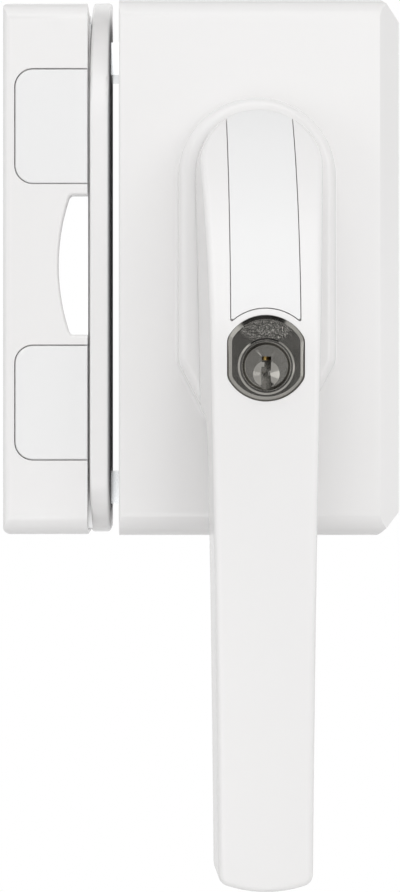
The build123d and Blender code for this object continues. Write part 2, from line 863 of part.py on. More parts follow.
def round_edges(lever):
    """Rounds the handle's front edges and the grip's back edges."""
    def is_front(edge):
        middle = edge @ 0.5
        depth = -middle.Y
        on_arc = grip_front - front_arc_radius + sqrt(
            max(front_arc_radius**2 - max(middle.Z - front_arc_end, 0) ** 2, 0))
        return abs(depth - on_arc) < 0.2 and edge.geom_type != GeomType.LINE

    def is_grip_back(edge):
        middle = edge @ 0.5
        along_grip = middle.Z < foot_end - throat_radius - 0.5
        return abs(-middle.Y - grip_back) < 0.2 and along_grip and edge.geom_type != GeomType.LINE

    lever = fillet(lever.edges().filter_by(is_front), front_edge_round)
    return fillet(lever.edges().filter_by(is_grip_back), back_edge_round)


def front_shell(outer_offset, inner_offset):
    """Layer under the handle's front surface, between two distances below it."""
    outer = front_arc_radius - outer_offset
    inner = front_arc_radius - inner_offset
    centre = (-(grip_front - front_arc_radius), front_arc_end)
    ring = Pos(*centre) * (Circle(outer) - Circle(inner))
    ring &= Pos(centre[0] - front_arc_radius / 2, centre[1] + front_arc_radius / 2) * Rectangle(
        front_arc_radius, front_arc_radius)
    return extrude(Plane.YZ * ring, amount=hub_radius * 2, both=True)


def strip_recess(gap):
    """Space that the cover strip lies in."""
    column = slab(strip_outline(gap), handle_back, grip_front + reach_past)
    return column & front_shell(-reach_past, strip_thickness)


def make_handle_cover_strip():
    """Thin curved strip let into the neck's front, over the handle screw and out to the hub's top."""
    return make_lever() & strip_recess(strip_gap)


def make_handle_screw():
    """Screw through the hub into the spindle's end, under the cover strip."""
    shank = disc(0, 0, handle_screw_size, handle_screw_seat - handle_screw_length, handle_screw_seat)
    head = disc(0, 0, handle_screw_head, handle_screw_seat, handle_screw_seat + handle_screw_head_height)
    head = fillet(head.faces().sort_by(Axis.Y)[0].edges(), handle_screw_round)
    head_front = handle_screw_seat + handle_screw_head_height
    recess = slab(RegularPolygon(handle_screw_key / 2, 6, major_radius=False),
                  head_front - handle_screw_key_depth, head_front)
    return shank + head - recess


# Key cylinder and locking pin


def make_cylinder_body():
    """Cylinder housing with flats, a bevelled front rim and a row of pin chambers."""
    front = grip_front + cylinder_proud
    body = slab(cylinder_outline(0), cylinder_back, front)
    body = chamfer(body.faces().sort_by(Axis.Y)[0].edges(), cylinder_edge)
    collar = disc(0, plug_centre, collar_size, front - 1, front + collar_height)
    body += chamfer(collar.faces().sort_by(Axis.Y)[0].edges(), collar_edge)
    bore = plug_size + 2 * running_gap
    body -= disc(0, plug_centre, bore, cylinder_back - 1, front + 2)
    body -= at_depth(front + collar_height) * Pos(0, plug_centre, -collar_inner_edge / 2) * Cone(
        bore / 2, bore / 2 + collar_inner_edge, collar_inner_edge)
    for depth in pin_depths():
        body -= bar_z(depth, pin_size + 2 * running_gap, plug_centre, pin_chamber_top)
    for side in (-1, 1):
        body -= disc(side * cylinder_screw_x, cylinder_centre, cylinder_screw_size, cylinder_back - 1,
                     cylinder_back + cylinder_screw_bite)
    return body


def make_cylinder_screws():
    """Screws from the handle's back into the cylinder, one each side of the plug."""
    head_end = cylinder_screw_start + cylinder_screw_head_height
    screws = []
    for side in (-1, 1):
        x = side * cylinder_screw_x
        head = disc(x, cylinder_centre, cylinder_screw_head, cylinder_screw_start, head_end)
        shank = disc(x, cylinder_centre, cylinder_screw_size, head_end,
                     cylinder_back + cylinder_screw_bite - fit_gap)
        screws.append(head + shank)
    return Compound(children=screws)


def pin_depths():
    """Depth of each pin's axis."""
    return [grip_front - pin_first_behind - place * pin_pitch for place in range(pin_count)]


def bar_z(depth, diameter, low, high):
    """Round bar along Z on the handle's centre line."""
    return extrude(Plane.XY.offset(low) * Pos(0, -depth) * Circle(diameter / 2), amount=high - low)


def make_cylinder_plug():
    """Turning plug with a warded keyway, pin holes and a tail for the locking pin."""
    front = grip_front + cylinder_proud + plug_proud
    plug = disc(0, plug_centre, plug_size, cylinder_back, front)
    plug = chamfer(plug.faces().sort_by(Axis.Y)[0].edges(), 0.4)
    plug -= at_depth(front) * Pos(0, plug_centre - dish_drop, -dish_depth / 2) * Cone(
        dish_radius / 3, dish_radius, dish_depth)
    keyway = Pos(0, plug_centre - (plug_size - keyway_height) / 2) * Rectangle(keyway_width, keyway_height)
    ward = Pos(keyway_width / 2, plug_centre - 1.4) * Rectangle(keyway_width * 0.6, 1.0)
    ward += Pos(-keyway_width / 2, plug_centre + 0.4) * Rectangle(keyway_width * 0.6, 1.0)
    plug -= slab(keyway - ward, cylinder_back + 1.5, front + 1)
    for depth in pin_depths():
        plug -= bar_z(depth, pin_size + 2 * running_gap, plug_centre, plug_centre + plug_size)
    return plug + disc(0, plug_centre, plug_tail_size, cylinder_back - plug_tail_length, cylinder_back)


def shear_line():
    """Height where the plug's pins and the driver pins meet."""
    return plug_centre + plug_size / 2 - 0.25


def make_key_pins():
    """Pins of five lengths in the plug."""
    return Compound(children=[
        bar_z(depth, pin_size, shear_line() - length, shear_line())
        for depth, length in zip(pin_depths(), key_pin_lengths)
    ])


def make_driver_pins():
    """Driver pins in the cylinder housing."""
    low = plug_centre + plug_size / 2 + running_gap + 0.02
    return Compound(children=[bar_z(depth, pin_size, low, low + driver_pin_length) for depth in pin_depths()])


def make_pin_springs():
    """Springs over the driver pins, drawn as sleeves."""
    low = plug_centre + plug_size / 2 + running_gap + 0.02 + driver_pin_length
    sleeves = []
    for depth in pin_depths():
        sleeve = bar_z(depth, pin_size, low, pin_chamber_top)
        sleeves.append(sleeve - bar_z(depth, pin_size * 0.6, low - 1, pin_chamber_top + 1))
    return Compound(children=sleeves)


def make_lock_pin():
    """Pin with a head, moved along its axis by the plug's tail."""
    tip = handle_back + lock_pin_hidden
    head_start = lock_pin_floor + lock_pin_travel + fit_gap
    pin = disc(0, plug_centre, lock_pin_size, tip, head_start)
    pin = chamfer(pin.faces().sort_by(Axis.Y)[-1].edges(), 0.5)
    pin += disc(0, plug_centre, lock_pin_head, head_start, head_start + lock_pin_head_height)
    bore_end = cylinder_back - plug_tail_length - fit_gap
    return pin - disc(0, plug_centre, plug_tail_size + 2 * running_gap, bore_end, cylinder_back)


# Keeper


def make_keeper_front_plate():
    """Thick plate that faces the case, with a slot for each bolt."""
    arc_start = fin_top - sqrt(fin_top_arc**2 - (fin_top_arc - fin_depth) ** 2)
    top_arc = TangentArc((-fin_depth, arc_start), (0, fin_top), tangent=(0, 1))
    rest = Polyline((0, fin_top), (0, body_bottom), (-fin_depth, body_bottom), (-fin_depth, arc_start))
    outline = make_face(Curve() + [top_arc, rest])
    low_corner = outline.vertices().filter_by(lambda corner: corner.X < -1).sort_by(Axis.Y)[0]
    outline = fillet(low_corner, fin_bottom_round)
    plate = extrude(Plane.YZ.offset(fin_left) * outline, amount=fin_thickness)
    for face, edge_round in ((-1, fin_edge_round), (0, fin_left_edge_round)):
        rim = plate.faces().sort_by(Axis.X)[face].edges().filter_by(lambda edge: (edge @ 0.5).Y < -0.5)
        plate = fillet(rim, edge_round)
    for centre in bolt_centres:
        plate -= bolt_window(centre, bolt_clearance, fin_left - 1, fin_right + 1)
    for height in block_screw_heights():
        for depth in plate_screw_depths:
            plate -= bar_x(depth, height, plate_screw_size, fin_left - 1, fin_left + plate_screw_bite)
    return plate


def block_screw_heights():
    """Height of the plate screws in each block, halfway between its frame screws."""
    return [(upper + lower) / 2 for upper, lower in frame_screw_heights]


def keeper_block(inset, right):
    """The housing's outside, or its hollow when drawn in by the wall."""
    left = keeper_left + inset
    top = body_top - inset
    bottom = body_bottom + inset
    front = keeper_depth - inset
    corner = max(keeper_corner - inset, 0.3)
    plan = make_face(Polyline((left, bottom), (right, bottom), (right, top), (left, top), close=True))
    plan = fillet(plan.vertices().filter_by(lambda point: point.X < left + 1), corner)
    if inset == 0:
        plan = fillet(plan.vertices().sort_by(Axis.X)[-2:].sort_by(Axis.Y)[-1], keeper_inner_corner)
    cross = make_face(Polyline((left, inset), (right, inset), (right, -front), (left, -front), close=True))
    cross = fillet(cross.vertices().filter_by(lambda point: point.X < left + 1 and point.Y < 0), corner)
    sides = extrude(Plane.XY.offset(bottom) * cross, amount=top - bottom)
    ends = end_profile(top, bottom, front, keeper_end_round - inset, inset)
    return slab(plan, -inset, front) & sides & extrude(Plane.YZ.offset(left) * ends, amount=right - left)


def keeper_end_walls():
    """Walls that close the housing's right end above the upper cover and below the lower one."""
    (upper_block_top, _), (_, lower_block_bottom) = block_heights
    (upper_cover_top, _), (_, lower_cover_bottom) = cover_heights
    left = keeper_right - keeper_wall
    over_block = block_depth + fit_gap
    past_block = keeper_plate_thickness + fit_gap
    walls = block(left, keeper_right, upper_cover_top + ledge_width, body_top, over_block, keeper_depth)
    walls += block(left, keeper_right, upper_block_top + fit_gap, body_top, past_block, keeper_depth)
    walls += block(left, keeper_right, body_bottom, lower_cover_bottom - ledge_width, over_block, keeper_depth)
    walls += block(left, keeper_right, body_bottom, lower_block_bottom - fit_gap, past_block, keeper_depth)
    return walls & keeper_block(0, keeper_right)


def make_keeper_housing():
    """Hollow cover of the keeper: a front with two cover pockets and the notch, and three sides."""
    housing = keeper_block(0, keeper_right) - keeper_block(keeper_wall, keeper_right + 1)
    for top, bottom in cover_heights:
        rim_top = top + ledge_width
        rim_bottom = bottom - ledge_width
        housing += block(keeper_left + keeper_wall / 2, keeper_right, rim_bottom, rim_top,
                         cover_back() - ledge_thickness, keeper_depth - 0.6)
    housing += keeper_end_walls()
    housing -= slab(notch_outline(0), -1, keeper_depth + 1)
    housing = fillet(housing.edges().filter_by(is_notch_rim), notch_edge_round)
    for top, bottom in cover_heights:
        housing -= slab(cover_outline(top, bottom, 0), cover_back(), keeper_depth + 1)
        window = block(cover_left + ledge_width, keeper_right + 1, bottom + ledge_width, top - ledge_width,
                       0, keeper_depth + 1)
        housing -= window
    return housing


def is_notch_rim(edge):
    """Whether an edge of the housing runs along the notch, on the front."""
    middle = edge @ 0.5
    on_front = abs(middle.Y + keeper_depth) < fit_gap / 2
    in_notch = notch_bottom - fit_gap < middle.Z < notch_top + fit_gap
    return on_front and in_notch and middle.X > keeper_right - notch_depth - fit_gap


def cover_back():
    """Depth of the screw covers' back faces."""
    return keeper_depth - cover_thickness


def make_screw_cover(top, bottom):
    """Snap-in cover over a pair of frame screws, with two feet that stand on the block."""
    cover = slab(cover_outline(top, bottom, seat_gap), cover_back(), keeper_depth)
    cover = fillet(cover.faces().sort_by(Axis.Y)[0].edges(), cover_edge_round)
    middle = (top + bottom) / 2
    for side in (-1, 1):
        foot_z = middle + side * (top - bottom) * 0.12
        cover += disc(frame_screw_x + cover_foot_offset, foot_z, cover_foot_size, block_depth, cover_back())
    return cover


def make_keeper_block(heights, screw_heights, bolt_centre):
    """Steel block behind a cover: it takes a bolt and the frame screws."""
    top, bottom = heights
    piece = block(block_left, fin_left, bottom, top, keeper_plate_thickness, block_depth)
    piece = chamfer(piece.faces().sort_by(Axis.Y)[0].edges().filter_by(Axis.Z).sort_by(Axis.X)[0], 2.0)
    piece -= bolt_window(bolt_centre, bolt_clearance, bolt_tip - 3.0, fin_left + 1)
    for height in screw_heights:
        piece -= countersink(frame_screw_x, height, frame_screw_hole, frame_screw_head, block_depth)
    middle = sum(screw_heights) / 2
    for depth in plate_screw_depths:
        piece -= bar_x(depth, middle, plate_screw_size, block_left - 1, fin_left + 1)
        piece -= bar_x(depth, middle, plate_screw_head, block_left - 1, block_left + plate_screw_head_height)
    return piece


def make_keeper_plate_screws():
    """Screws through the blocks into the front plate."""
    screws = []
    for height in block_screw_heights():
        for depth in plate_screw_depths:
            shank = bar_x(depth, height, plate_screw_size, block_left, fin_left + plate_screw_bite)
            head = bar_x(depth, height, plate_screw_head, block_left, block_left + plate_screw_head_height)
            screws.append(shank + head)
    return Compound(children=screws)


def make_keeper_base_plate():
    """Steel strip on the frame under both blocks, cut back behind the notch."""
    plate = block(keeper_left + keeper_wall + base_gap, fin_left, body_bottom + keeper_wall + base_gap,
                  body_top - keeper_wall - base_gap, 0, keeper_plate_thickness)
    plate -= slab(notch_outline(notch_clearance), -1, keeper_plate_thickness + 1)
    for pair in frame_screw_heights:
        for height in pair:
            plate -= disc(frame_screw_x, height, frame_screw_hole, -1, keeper_plate_thickness + 1)
    return plate


def build_pieces():
    """Every node's name and solid."""
    (upper_top, upper_bottom), (lower_top, lower_bottom) = cover_heights
    return {
        "lock_case": make_lock_case(),
        "lock_base_plate": make_base_plate(),
        "case_screws": make_case_screws(),
        "drive_pinion": make_drive_pinion(),
        "bolt_carriage": make_bolt_carriage(),
        "bolt_rack": make_bolt_rack(),
        "upper_bolt": make_bolt(bolt_centres[0]),
        "lower_bolt": make_bolt(bolt_centres[1]),
        "bolt_rivets": make_bolt_rivets(),
        "upper_bolt_guide": make_bolt_guide(bolt_centres[0]),
        "lower_bolt_guide": make_bolt_guide(bolt_centres[1]),
        "guide_posts": make_guide_posts(),
        "bearing_plate": make_bearing_plate(),
        "bearing_screws": make_bearing_screws(),
        "detent_disc": make_detent_disc(),
        "detent_ball": make_detent_ball(),
        "detent_spring": make_detent_spring(),
        "detent_holder": make_detent_holder(),
        "detent_plug": make_detent_plug(),
        "spindle": make_spindle(),
        "drive_sleeve": make_drive_sleeve(),
        "handle_bush": make_handle_bush(),
        "retaining_clip": make_retaining_clip(),
        "handle_body": make_handle_body(),
        "handle_cover_strip": make_handle_cover_strip(),
        "handle_screw": make_handle_screw(),
        "cylinder_body": make_cylinder_body(),
        "cylinder_screws": make_cylinder_screws(),
        "cylinder_plug": make_cylinder_plug(),
        "key_pins": make_key_pins(),
        "driver_pins": make_driver_pins(),
        "pin_springs": make_pin_springs(),
        "locking_pin": make_lock_pin(),
        "keeper_front_plate": make_keeper_front_plate(),
        "keeper_housing": make_keeper_housing(),
        "upper_screw_cover": make_screw_cover(upper_top, upper_bottom),
        "lower_screw_cover": make_screw_cover(lower_top, lower_bottom),
        "upper_keeper_block": make_keeper_block(block_heights[0], frame_screw_heights[0], bolt_centres[0]),
        "lower_keeper_block": make_keeper_block(block_heights[1], frame_screw_heights[1], bolt_centres[1]),
        "keeper_plate_screws": make_keeper_plate_screws(),
        "keeper_base_plate": make_keeper_base_plate(),
    }


os.makedirs("parts", exist_ok=True)
for name, piece in build_pieces().items():
    export_step(piece, f"parts/{name}.step")
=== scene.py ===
"""Looks of a surface window lock: white coated case, lever handle and keeper, with a nickel key cylinder.

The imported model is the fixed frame. Everything here is in metres, in the model's own frame: X runs along the
window's face with the keeper at -X, Y goes into the window and Z is up. Values whose names end in _mm are in
millimetres.
"""

from __future__ import annotations

import json
import logging
import math
from dataclasses import dataclass, field
from enum import Enum, IntEnum
from typing import Any

import bmesh
import bpy
from mathutils import Matrix, Vector


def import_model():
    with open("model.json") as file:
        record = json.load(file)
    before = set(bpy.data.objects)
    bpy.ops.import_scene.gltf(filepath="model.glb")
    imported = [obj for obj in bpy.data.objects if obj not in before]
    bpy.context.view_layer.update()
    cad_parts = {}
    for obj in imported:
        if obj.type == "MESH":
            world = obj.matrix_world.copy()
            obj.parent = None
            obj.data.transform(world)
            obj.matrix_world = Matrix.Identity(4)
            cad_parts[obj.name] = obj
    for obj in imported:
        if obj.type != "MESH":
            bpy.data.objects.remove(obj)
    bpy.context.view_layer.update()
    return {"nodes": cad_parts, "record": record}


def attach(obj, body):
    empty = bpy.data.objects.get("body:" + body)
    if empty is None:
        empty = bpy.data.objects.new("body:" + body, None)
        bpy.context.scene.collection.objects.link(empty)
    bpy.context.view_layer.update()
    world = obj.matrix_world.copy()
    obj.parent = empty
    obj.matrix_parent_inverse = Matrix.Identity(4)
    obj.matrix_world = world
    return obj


LOG = logging.getLogger("window_lock")
MM = 0.001

# Round left on an edge that is only deburred
DEBURR_MM = 0.12

# Refraction of a polyester coat and of moulded plastic
PLASTIC_IOR = 1.5

# Node settings that several materials share
SMOOTH_STEP = {"interpolation_type": "SMOOTHSTEP"}
MIX_COLOURS = {"data_type": "RGBA"}
MIX_NUMBERS = {"data_type": "FLOAT"}
MULTIPLY = {"operation": "MULTIPLY"}
MAXIMUM = {"operation": "MAXIMUM"}


class Slot(Enum):
    """Material slots of the record, one for each real finish."""

    COAT = "white_coat"
    PLASTIC = "white_plastic"
    ZINC = "zinc_steel"
    GROUND = "bright_steel"
    NICKEL = "dark_nickel"
    BRASS = "brass"
    SPRING = "spring_steel"
    ACETAL = "bush_plastic"


class MixInput(IntEnum):
    """Inputs of a Mix node by number, because those for numbers and for colours share their names."""

    AMOUNT = 0
    FIRST_NUMBER = 2
    SECOND_NUMBER = 3
    FIRST_COLOUR = 6
    SECOND_COLOUR = 7


class MixOutput(IntEnum):
    """Outputs of a Mix node by number."""

    NUMBER = 0
    COLOUR = 2


def srgb(code: str) -> tuple[float, float, float, float]:
    """Turns an sRGB hex colour to linear.

    Args:
        code: Six hex digits.

    Returns:
        Linear red, green, blue and an alpha of 1.
    """
    parts = [int(code[i : i + 2], 16) / 255 for i in (0, 2, 4)]
    linear = [p / 12.92 if p <= 0.04045 else ((p + 0.055) / 1.055) ** 2.4 for p in parts]
    return (linear[0], linear[1], linear[2], 1.0)


def add_node(
    tree: bpy.types.NodeTree,
    kind: str,
    settings: dict[str, Any] | None = None,
    values: dict[str | int, Any] | None = None,
    links: dict[str | int, bpy.types.NodeSocket] | None = None,
) -> bpy.types.Node:
    """Adds one node with its settings, its socket values and its links.

    Args:
        tree: The node tree.
        kind: The node's type name.
        settings: Attributes of the node itself.
        values: Default values by input socket.
        links: Output sockets that feed input sockets.

    Returns:
        The new node.
    """
    node = tree.nodes.new(kind)
    for name, value in (settings or {}).items():
        setattr(node, name, value)
    for socket, value in (values or {}).items():
        node.inputs[socket].default_value = value
    for socket, source in (links or {}).items():
        tree.links.new(source, node.inputs[socket])
    return node


def start_material(name: str) -> tuple[bpy.types.Material, bpy.types.NodeTree, bpy.types.Node]:
    """Makes an empty node material.

    Args:
        name: The material's name.

    Returns:
        The material, its node tree and its surface shader.
    """
    material = bpy.data.materials.new(name)
    material.use_nodes = True
    tree = material.node_tree
    tree.nodes.clear()
    shader = add_node(tree, "ShaderNodeBsdfPrincipled")
    add_node(tree, "ShaderNodeOutputMaterial", links={"Surface": shader.outputs["BSDF"]})
    return material, tree, shader


def seen_rays(tree: bpy.types.NodeTree) -> bpy.types.NodeSocket:
    """Finds the rays that show the surround: straight from the camera, off a glossy face, or through glass.

    Args:
        tree: The world's or the floor's node tree.

    Returns:
        A socket that is 1 for those rays.
    """
    rays = add_node(tree, "ShaderNodeLightPath")
    seen = add_node(
        tree, "ShaderNodeMath", settings=MAXIMUM,
        links={0: rays.outputs["Is Camera Ray"], 1: rays.outputs["Is Glossy Ray"]},
    )
    seen = add_node(
        tree, "ShaderNodeMath", settings=MAXIMUM,
        links={0: seen.outputs[0], 1: rays.outputs["Is Transmission Ray"]},
    )
    return seen.outputs[0]


def flat_panel(half: float) -> bmesh.types.BMesh:
    """Makes a level square panel about the origin.

    Args:
        half: Half of its side.

    Returns:
        The panel's bmesh.
    """
    panel = bmesh.new()
    bmesh.ops.create_grid(panel, x_segments=1, y_segments=1, size=half)
    return panel


def new_object(name: str, mesh: bmesh.types.BMesh) -> bpy.types.Object:
    """Turns a bmesh into an object at the origin.

    Args:
        name: The object's name.
        mesh: The bmesh, which is freed.

    Returns:
        The linked object.
    """
    data = bpy.data.meshes.new(name)
    mesh.to_mesh(data)
    mesh.free()
    made = bpy.data.objects.new(name, data)
    bpy.context.scene.collection.objects.link(made)
    return made


@dataclass(frozen=True)
class PowderCoat:
    """Polyester powder coat baked on die-cast zinc.

    It gives the eye an even white with soft highlights, which waver a little with the coat's orange peel.
    Where a gap shade is set, shade is painted on the flank that looks along +X, which is made darker and dull
    as the narrow gap would shade it. Each of its ends is given as the height where there is no painted shade
    and the height where it is full.
    """

    name: str = "white_powder_coat"
    tone: str = "F1F0F0"
    tone_warm: str = "F2F1F0"
    cloud_mm: float = 38.0
    roughness: float = 0.24
    roughness_spread: tuple[float, float] = (-0.03, 0.04)
    peel_mm: float = 1.6
    peel_height_mm: float = 0.012
    peel_strength: float = 0.35
    # Painted shade on the flank in the gap: its tone, roughness, the normals that get it and the heights where
    # it fades out
    gap_shade_tone: str = ""
    gap_roughness: float = 0.95
    gap_facing: tuple[float, float] = (0.35, 0.95)
    gap_ends_mm: tuple[tuple[float, float], ...] = ()

    def make(self) -> bpy.types.Material:
        """Builds the material.

        Returns:
            The material.
        """
        material, tree, shader = start_material(self.name)
        place = add_node(tree, "ShaderNodeTexCoord")
        cloud = add_node(
            tree, "ShaderNodeTexNoise", values={"Scale": 1 / (self.cloud_mm * MM), "Detail": 2.0},
            links={"Vector": place.outputs["Object"]},
        )
        tone = add_node(
            tree, "ShaderNodeMix", settings=MIX_COLOURS,
            values={MixInput.FIRST_COLOUR: srgb(self.tone), MixInput.SECOND_COLOUR: srgb(self.tone_warm)},
            links={MixInput.AMOUNT: cloud.outputs["Fac"]},
        )
        peel = add_node(
            tree, "ShaderNodeTexNoise", values={"Scale": 1 / (self.peel_mm * MM), "Detail": 1.0},
            links={"Vector": place.outputs["Object"]},
        )
        bump = add_node(
            tree, "ShaderNodeBump",
            values={"Strength": self.peel_strength, "Distance": self.peel_height_mm * MM},
            links={"Height": peel.outputs["Fac"]},
        )
        smoother, duller = self.roughness_spread
        gloss = add_node(
            tree, "ShaderNodeMapRange",
            values={"To Min": self.roughness + smoother, "To Max": self.roughness + duller},
            links={"Value": cloud.outputs["Fac"]},
        )
        tree.links.new(tone.outputs[MixOutput.COLOUR], shader.inputs["Base Color"])
        tree.links.new(bump.outputs["Normal"], shader.inputs["Normal"])
        tree.links.new(gloss.outputs["Result"], shader.inputs["Roughness"])
        shader.inputs["IOR"].default_value = PLASTIC_IOR
        if self.gap_shade_tone:
            self.shade_gap(tree, shader, tone.outputs[MixOutput.COLOUR], gloss.outputs["Result"])
        return material

    def shade_gap(
        self,
        tree: bpy.types.NodeTree,
        shader: bpy.types.Node,
        colour: bpy.types.NodeSocket,
        gloss: bpy.types.NodeSocket,
    ) -> None:
        """Paints shade on the flank in the gap: darker and dull.

        Args:
            tree: The material's node tree.
            shader: The surface shader.
            colour: The clean coat's colour.
            gloss: The clean coat's roughness.
        """
        facing = add_node(tree, "ShaderNodeNewGeometry")
        facing = add_node(tree, "ShaderNodeSeparateXYZ", links={0: facing.outputs["Normal"]})
        place = add_node(tree, "ShaderNodeTexCoord")
        place = add_node(tree, "ShaderNodeSeparateXYZ", links={0: place.outputs["Object"]})
        away, along = self.gap_facing
        flank = add_node(
            tree, "ShaderNodeMapRange", settings=SMOOTH_STEP, values={"From Min": away, "From Max": along},
            links={"Value": facing.outputs["X"]},
        )
        amount = flank.outputs["Result"]
        for clean, painted_shade in self.gap_ends_mm:
            end = add_node(
                tree, "ShaderNodeMapRange", settings=SMOOTH_STEP,
                values={"From Min": clean * MM, "From Max": painted_shade * MM},
                links={"Value": place.outputs["Z"]},
            )
            joined = add_node(
                tree, "ShaderNodeMath", settings=MULTIPLY, links={0: amount, 1: end.outputs["Result"]},
            )
            amount = joined.outputs[0]
        # Painted shade: the flank's colour is mixed toward the grey shade tone
        shaded = add_node(
            tree, "ShaderNodeMix", settings=MIX_COLOURS,
            values={MixInput.SECOND_COLOUR: srgb(self.gap_shade_tone)},
            links={MixInput.AMOUNT: amount, MixInput.FIRST_COLOUR: colour},
        )
        dulled = add_node(
            tree, "ShaderNodeMix", settings=MIX_NUMBERS,
            values={MixInput.SECOND_NUMBER: self.gap_roughness},
            links={MixInput.AMOUNT: amount, MixInput.FIRST_NUMBER: gloss},
        )
        tree.links.new(shaded.outputs[MixOutput.COLOUR], shader.inputs["Base Color"])
        tree.links.new(dulled.outputs[MixOutput.NUMBER], shader.inputs["Roughness"])


@dataclass(frozen=True)
class Moulding:
    """Injection moulded plastic from a spark-eroded mould.

    It gives the eye the same white as the coat, a touch duller. The mould's grain is finer than a tenth of
    a millimetre, and it is drawn coarser here so that it shows.
    """

    name: str
    tone: str
    roughness: float = 0.3
    roughness_spread: tuple[float, float] = (-0.03, 0.05)
    grain_mm: float = 0.35
    grain_height_mm: float = 0.006
    grain_strength: float = 0.2

    def make(self) -> bpy.types.Material:
        """Builds the material.

        Returns:
            The material.
        """
        material, tree, shader = start_material(self.name)
        place = add_node(tree, "ShaderNodeTexCoord")
        grain = add_node(
            tree, "ShaderNodeTexNoise", values={"Scale": 1 / (self.grain_mm * MM), "Detail": 2.0},
            links={"Vector": place.outputs["Object"]},
        )
        bump = add_node(
            tree, "ShaderNodeBump",
            values={"Strength": self.grain_strength, "Distance": self.grain_height_mm * MM},
            links={"Height": grain.outputs["Fac"]},
        )
        smoother, duller = self.roughness_spread
        gloss = add_node(
            tree, "ShaderNodeMapRange",
            values={"To Min": self.roughness + smoother, "To Max": self.roughness + duller},
            links={"Value": grain.outputs["Fac"]},
        )
        tree.links.new(bump.outputs["Normal"], shader.inputs["Normal"])
        tree.links.new(gloss.outputs["Result"], shader.inputs["Roughness"])
        shader.inputs["Base Color"].default_value = srgb(self.tone)
        shader.inputs["IOR"].default_value = PLASTIC_IOR
        return material


@dataclass(frozen=True)
class WorkedMetal:
    """Plated, ground or turned metal.

    It gives the eye a cloudy sheen with fine marks that run along Z. The real marks are too fine to show, so
    they are drawn a quarter of a millimetre wide.
    """

    name: str
    tone: str
    tone_dark: str
    roughness: float
    roughness_shares: tuple[float, float] = (0.75, 1.35)
    cloud_mm: float = 6.0
    mark_mm: float = 0.25
    mark_stretch: tuple[float, float, float] = (1.0, 1.0, 12.0)
    mark_height_mm: float = 0.004
    mark_strength: float = 0.4

    def make(self) -> bpy.types.Material:
        """Builds the material.

        Returns:
            The material.
        """
        material, tree, shader = start_material(self.name)
        place = add_node(tree, "ShaderNodeTexCoord")
        stretched = add_node(
            tree, "ShaderNodeMapping", values={"Scale": tuple(1 / s for s in self.mark_stretch)},
            links={"Vector": place.outputs["Object"]},
        )
        marks = add_node(
            tree, "ShaderNodeTexNoise", values={"Scale": 1 / (self.mark_mm * MM), "Detail": 3.0},
            links={"Vector": stretched.outputs["Vector"]},
        )
        cloud = add_node(
            tree, "ShaderNodeTexNoise", values={"Scale": 1 / (self.cloud_mm * MM), "Detail": 3.0},
            links={"Vector": place.outputs["Object"]},
        )
        tone = add_node(
            tree, "ShaderNodeMix", settings=MIX_COLOURS,
            values={MixInput.FIRST_COLOUR: srgb(self.tone), MixInput.SECOND_COLOUR: srgb(self.tone_dark)},
            links={MixInput.AMOUNT: cloud.outputs["Fac"]},
        )
        bump = add_node(
            tree, "ShaderNodeBump",
            values={"Strength": self.mark_strength, "Distance": self.mark_height_mm * MM},
            links={"Height": marks.outputs["Fac"]},
        )
        smoother, duller = self.roughness_shares
        gloss = add_node(
            tree, "ShaderNodeMapRange",
            values={"To Min": self.roughness * smoother, "To Max": self.roughness * duller},
            links={"Value": cloud.outputs["Fac"]},
        )
        tree.links.new(tone.outputs[MixOutput.COLOUR], shader.inputs["Base Color"])
        tree.links.new(bump.outputs["Normal"], shader.inputs["Normal"])
        tree.links.new(gloss.outputs["Result"], shader.inputs["Roughness"])
        shader.inputs["Metallic"].default_value = 1.0
        return material


@dataclass(frozen=True)
class Patch:
    """Oval part of the cylinder's face with a finish of its own; pits says how deep it looks, from 0 to 1."""

    middle_mm: tuple[float, float]
    half_mm: tuple[float, float]
    roughness: float
    pits: float


